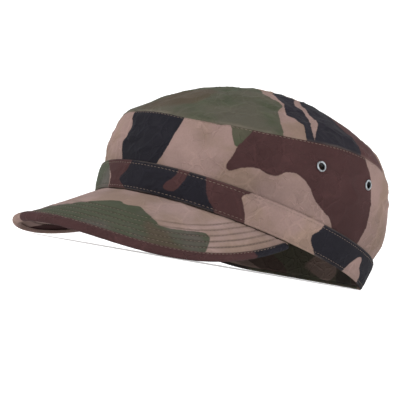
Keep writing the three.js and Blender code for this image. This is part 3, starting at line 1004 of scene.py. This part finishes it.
def sew(name, lines):
    """Rows of stitches as one piece. A line is points in the cap's frame, each with the way
    out of the cloth there."""
    row = bmesh.new()
    for line in lines:
        placed = [(onto_table(point), onto_table(point + out) - onto_table(point)) for point, out in line]
        travelled, due = 0.0, stitch_pitch / 1000 * 0.6
        for (start, out), (end, _) in zip(placed, placed[1:]):
            run = (end - start).length
            while due <= travelled + run and run > 0:
                along = (end - start) / run
                middle = start + along * (due - travelled)
                lift = out.normalized()
                aside = lift.cross(along).normalized()
                along = (along + aside * hand.uniform(-0.06, 0.06)).normalized()
                turn = Matrix((lift.cross(along), lift, along)).transposed().to_4x4()
                half_long = stitch_length * hand.uniform(0.9, 1.06) / 2000
                size = Matrix.Diagonal((thread_radius / 1000, thread_radius / 1000, half_long, 1))
                place = Matrix.Translation(middle) @ turn @ size
                bmesh.ops.create_uvsphere(row, u_segments=6, v_segments=5, radius=1.0, matrix=place)
                due += stitch_pitch / 1000
            travelled += run
    piece = make_object(name, row, [thread_finish.material])
    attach(piece, "root")


def out_of(face, a, b, da, db):
    """The way out of a face given by two numbers, from points da and db to each side."""
    across = face(a + da, b) - face(a - da, b)
    return across.cross(face(a, b + db) - face(a, b - db)).normalized()


def crown_line(face, height_at):
    """A row of stitches right round the crown."""
    line = []
    for step in range(721):
        around = step / 2 - 180
        height = height_at(around)
        out = out_of(face, around, height, 0.5, 0.4)
        line.append((face(around, height) + out * thread_lift, out))
    return line


def level_line(face, height):
    return crown_line(face, lambda around: height)


top_line = crown_line(wall_face, lambda around: wall_top(around) - top_stitch_inset)
sew("wall_stitches", [top_line])
sew("band_stitches", [level_line(band_face, height) for height in band_stitch_lines])


def peak_line(inset, upper):
    """A row over or under the peak, stopping short of the rim."""
    line = []
    for step in range(-600, 601):
        side = step / 600
        flat_side, reach = binding_spot(side, inset)
        clear = peak_reach(side) - inset / math.hypot(1, outline_slope(side))
        if clear > 1.6 and abs(flat_side) < 0.95:
            normal = peak_normal(flat_side, reach)
            raised = 0.0 if upper else 2 * peak_cloth + gap
            bottom = quilting(flat_side, reach) + thread_lift
            out = normal if upper else -normal
            line.append((peak_point(flat_side, reach) - normal * raised + out * bottom, out))
    return line


sew("peak_top_stitches", [peak_line(inset, True) for inset in peak_rows])
sew("peak_under_stitches", [peak_line(inset, False) for inset in peak_rows])


binding_groove = 0.24  # how deep its stitches lie in the strip


def binding_line(upper):
    """The row through the binding, on its upper or its lower side."""
    line = []
    for step in range(401):
        side = blend(-0.955, 0.955, step / 400)
        inset = binding_width - binding_stitch_inset
        flat_side, reach = binding_spot(side, inset)
        normal = peak_normal(flat_side, reach)
        base = binding_over - binding_groove if upper else peak_bottom - binding_over + binding_groove
        out = normal if upper else -normal
        line.append((peak_point(flat_side, reach) + normal * base + out * 0.04, out))
    return line


sew("binding_stitches", [binding_line(True), binding_line(False)])


# ---- Vent eyelets ----
# Small nickelled eyelets, a barrel through the wall rolled over into a flange on both faces.

metal = Finish("nickelled_eyelet", 0.34)
metal_place = metal.node("ShaderNodeTexCoord", output=3)
metal_wear = metal.node("ShaderNodeTexNoise", None, {"Vector": metal_place, "Scale": 700.0, "Detail": 4.0})
metal_shade = metal.mix(metal_wear.step(0.4, 0.7), colour(160, 166, 170), colour(112, 114, 116))
# painted shade on the inside of the barrel, which lies in shadow
painted_barrel_shade = metal.node("ShaderNodeAttribute", {"attribute_name": "inside"}, output=2)
metal.feed("Base Color", metal.mix(painted_barrel_shade * 0.92, metal_shade, colour(30, 32, 34)))
metal.feed("Roughness", 0.24 + metal_wear * 0.3)
metal.shader.inputs["Metallic"].default_value = 1.0
# the rolled section, as a distance from the middle and a height over the cloth's outer face
eyelet_profile = [
    (2.15, -2.3), (2.15, 0.1), (2.2, 0.45), (2.4, 0.75), (2.7, 0.85), (3.0, 0.75), (3.25, 0.5),
    (3.35, 0.2), (3.25, 0.05), (2.7, 0.05), (2.55, 0.0), (2.55, -1.6), (3.2, -1.7), (3.3, -2.0),
    (3.1, -2.4), (2.5, -2.5),
]
barrel_shade_radius = 0.0022  # metres from its middle, inside which the barrel is painted dark as shade
for eyelet in eyelets:
    centre, out = eyelet_seat(eyelet["around"], eyelet["climb"])
    ring = bmesh.new()
    section = [ring.verts.new((radius / 1000, 0, level / 1000)) for radius, level in eyelet_profile]
    outline = [ring.edges.new(pair) for pair in zip(section, section[1:] + section[:1])]
    bmesh.ops.spin(
        ring, geom=section + outline, cent=(0, 0, 0), axis=(0, 0, 1), angle=2 * math.pi, steps=40,
        use_merge=True,
    )
    bmesh.ops.remove_doubles(ring, verts=ring.verts, dist=1e-6)
    bmesh.ops.recalc_face_normals(ring, faces=ring.faces)
    inside = ring.verts.layers.float.new("inside")
    for vert in ring.verts:
        vert[inside] = 1 if math.hypot(vert.co.x, vert.co.y) < barrel_shade_radius else 0
    turn = out.to_track_quat("Z", "Y").to_matrix().to_4x4()
    bmesh.ops.transform(ring, matrix=Matrix.Translation(centre) @ turn, verts=ring.verts)
    piece = make_object("eyelet_" + eyelet["name"] + "_metal", ring, [metal.material])
    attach(piece, "root")
    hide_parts("eyelet_" + eyelet["name"])


# ---- Table, light and camera ----
# A pale table that curves up all round, under wide soft lamps. The camera looks from the
# wearer's left of the front, almost level, and is tilted so that the cap sits askew.

table_half, table_flat, table_curve = 6, 2.2, 0.35
cove = bmesh.new()
bmesh.ops.create_grid(cove, x_segments=60, y_segments=60, size=1.0)
for vert in cove.verts:
    away = max(math.hypot(vert.co.x, vert.co.y) * table_half - table_flat, 0)
    vert.co = Vector((vert.co.x * table_half, vert.co.y * table_half, away * away * table_curve))
cove_finish = Finish("pale_table", 0.9)
cove_finish.shader.inputs["Base Color"].default_value = colour(244, 244, 244)
cove_finish.shader.inputs["Emission Color"].default_value = (1, 1, 1, 1)
cove_finish.shader.inputs["Emission Strength"].default_value = 0.46
table = make_object("table", cove, [cove_finish.material])

world = bpy.data.worlds.new("studio")
bpy.context.scene.world = world
world.use_nodes = True
world.node_tree.nodes["Background"].inputs["Color"].default_value = (1, 1, 1, 1)
world.node_tree.nodes["Background"].inputs["Strength"].default_value = 0.34
bpy.context.scene.view_settings.view_transform = "Standard"

lamps = [
    {"name": "key", "place": (-0.7, -1.0, 1.8), "size": 0.7, "power": 19},
    {"name": "side", "place": (1.2, 1.2, 1.5), "size": 0.8, "power": 10},
    {"name": "back", "place": (-0.9, 1.3, 1.5), "size": 1.2, "power": 3},
    {"name": "low", "place": (0.75, -1.0, 0.12), "size": 0.4, "power": 2.2},
]
cap_middle = (cad_box[0] + cad_box[1]) / 2
for lamp in lamps:
    light = bpy.data.lights.new(lamp["name"], "AREA")
    light.size, light.energy = lamp["size"], lamp["power"]
    stand = bpy.data.objects.new(lamp["name"], light)
    stand.location = lamp["place"]
    stand.rotation_euler = (cap_middle - stand.location).to_track_quat("-Z", "Y").to_euler()
    bpy.context.scene.collection.objects.link(stand)

camera_azimuth = math.radians(45.3)
camera_elevation = math.radians(-2.7)
camera_roll = math.radians(9.9)
camera_distance = 1.02
view_width = 0.258  # of the picture at the cap, in metres
shift_right, shift_up = 0.0315, 0.009  # metres, to set the cap off the picture's middle
target = onto_table(Vector((0, 0, 40)))
back = Vector(
    (
        math.sin(camera_azimuth) * math.cos(camera_elevation),
        -math.cos(camera_azimuth) * math.cos(camera_elevation),
        math.sin(camera_elevation),
    )
)
right = Vector((math.cos(camera_azimuth), math.sin(camera_azimuth), 0))
up = back.cross(right)
right, up = (
    right * math.cos(camera_roll) + up * math.sin(camera_roll),
    up * math.cos(camera_roll) - right * math.sin(camera_roll),
)
aim = target - right * shift_right - up * shift_up
camera_data = bpy.data.cameras.new("camera")
camera_data.sensor_width = 36
camera_data.clip_start = 0.01
camera_data.lens = camera_data.sensor_width * camera_distance / view_width
camera = bpy.data.objects.new("camera", camera_data)
camera.location = target + back * camera_distance
away = (camera.location - aim).normalized()
side_on = up.cross(away).normalized()
camera.rotation_euler = Matrix((side_on, away.cross(side_on), away)).transposed().to_euler()
bpy.context.scene.collection.objects.link(camera)
bpy.context.scene.camera = camera
